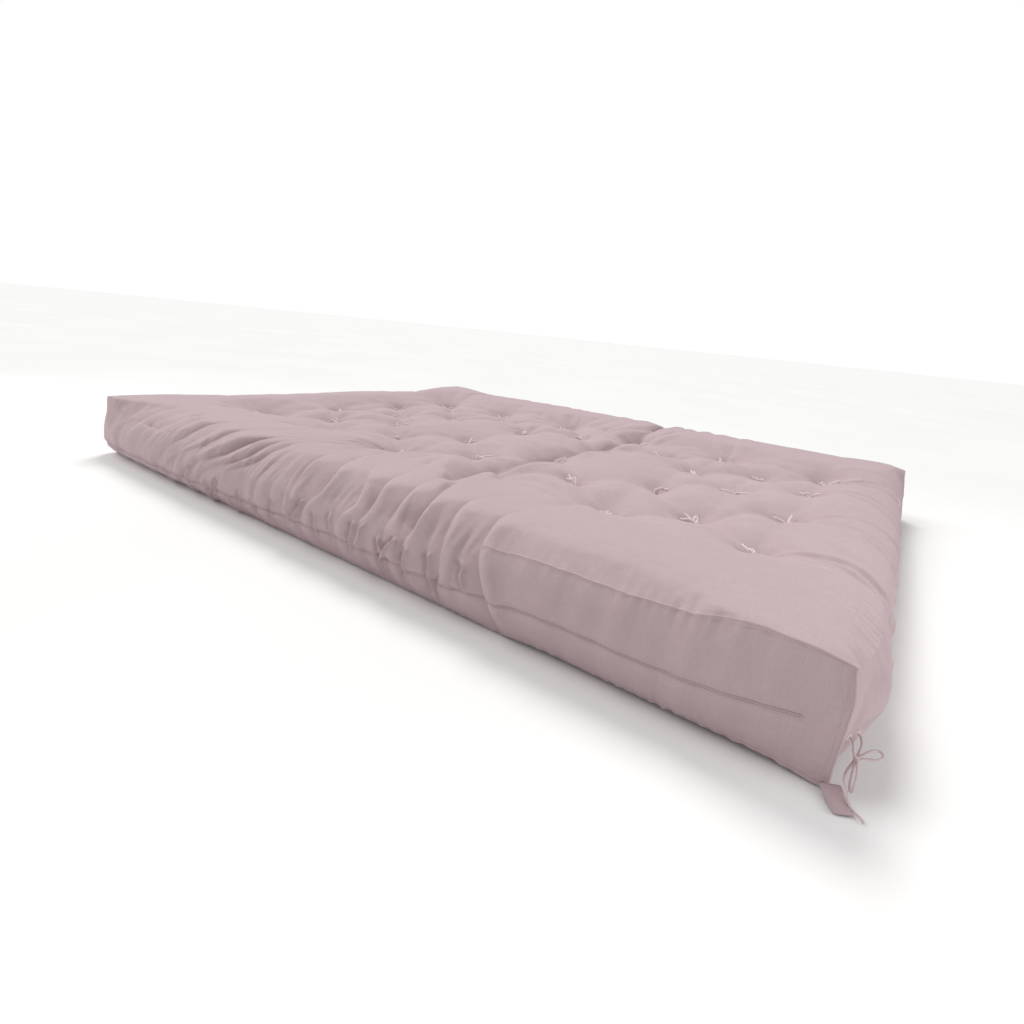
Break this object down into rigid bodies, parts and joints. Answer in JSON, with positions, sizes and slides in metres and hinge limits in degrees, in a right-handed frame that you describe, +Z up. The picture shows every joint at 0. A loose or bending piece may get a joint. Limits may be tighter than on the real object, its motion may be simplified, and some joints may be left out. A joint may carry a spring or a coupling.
{
  "type": "tufted futon mattress",
  "caption": "Thick cotton futon mattress with a box-edge case, knotted twine tufts over its face, a crosswise fold crease, and a bow tie and fabric tab at one corner.",
  "frame": {"origin": "middle of the face that the mattress lies on, at floor height", "axes": "+X along the length towards the foot end with the corner tie, +Y across the width towards the back long side, +Z up"},
  "size_m": [2.076, 1.655, 0.16],
  "materials": {
    "cover": "matte cotton drill, dusty pink",
    "felt": "matte carded cotton felt",
    "foam": "matte open-cell foam",
    "twine": "matte cotton twine",
    "eyelet_thread": "satin buttonhole thread",
    "tie_cord": "matte braided cotton cord"
  },
  "bodies": {
    "head_section": {"top_panel_head": "cover", "bottom_panel_head": "cover", "front_band_upper_head": "cover", "front_band_lower_head": "cover", "back_band_head": "cover", "end_band_head": "cover", "felt_1_head": "felt", "felt_2_head": "felt", "felt_3_head": "felt", "felt_4_head": "felt", "felt_5_head": "felt", "felt_6_head": "felt", "foam_core_head": "foam", "tuft_twine_head": "twine"},
    "foot_section": {"top_panel_foot": "cover", "bottom_panel_foot": "cover", "front_band_upper_foot": "cover", "front_band_lower_foot": "cover", "back_band_foot": "cover", "end_band_foot": "cover", "felt_1_foot": "felt", "felt_2_foot": "felt", "felt_3_foot": "felt", "felt_4_foot": "felt", "felt_5_foot": "felt", "felt_6_foot": "felt", "foam_core_foot": "foam", "tuft_twine_foot": "twine", "corner_eyelets": "eyelet_thread", "corner_tie_knot": "tie_cord", "corner_tie_side_loop": "tie_cord", "corner_tie_low_loop": "tie_cord", "corner_tie_tail": "tie_cord", "corner_tab": "cover"}
  },
  "joints": [
    {"name": "fold", "type": "hinge", "parent": "head_section", "child": "foot_section", "pos_m": [0.18, 0, 0.163], "axis": [0, -1, 0], "range_deg": [0, 170]}
  ]
}
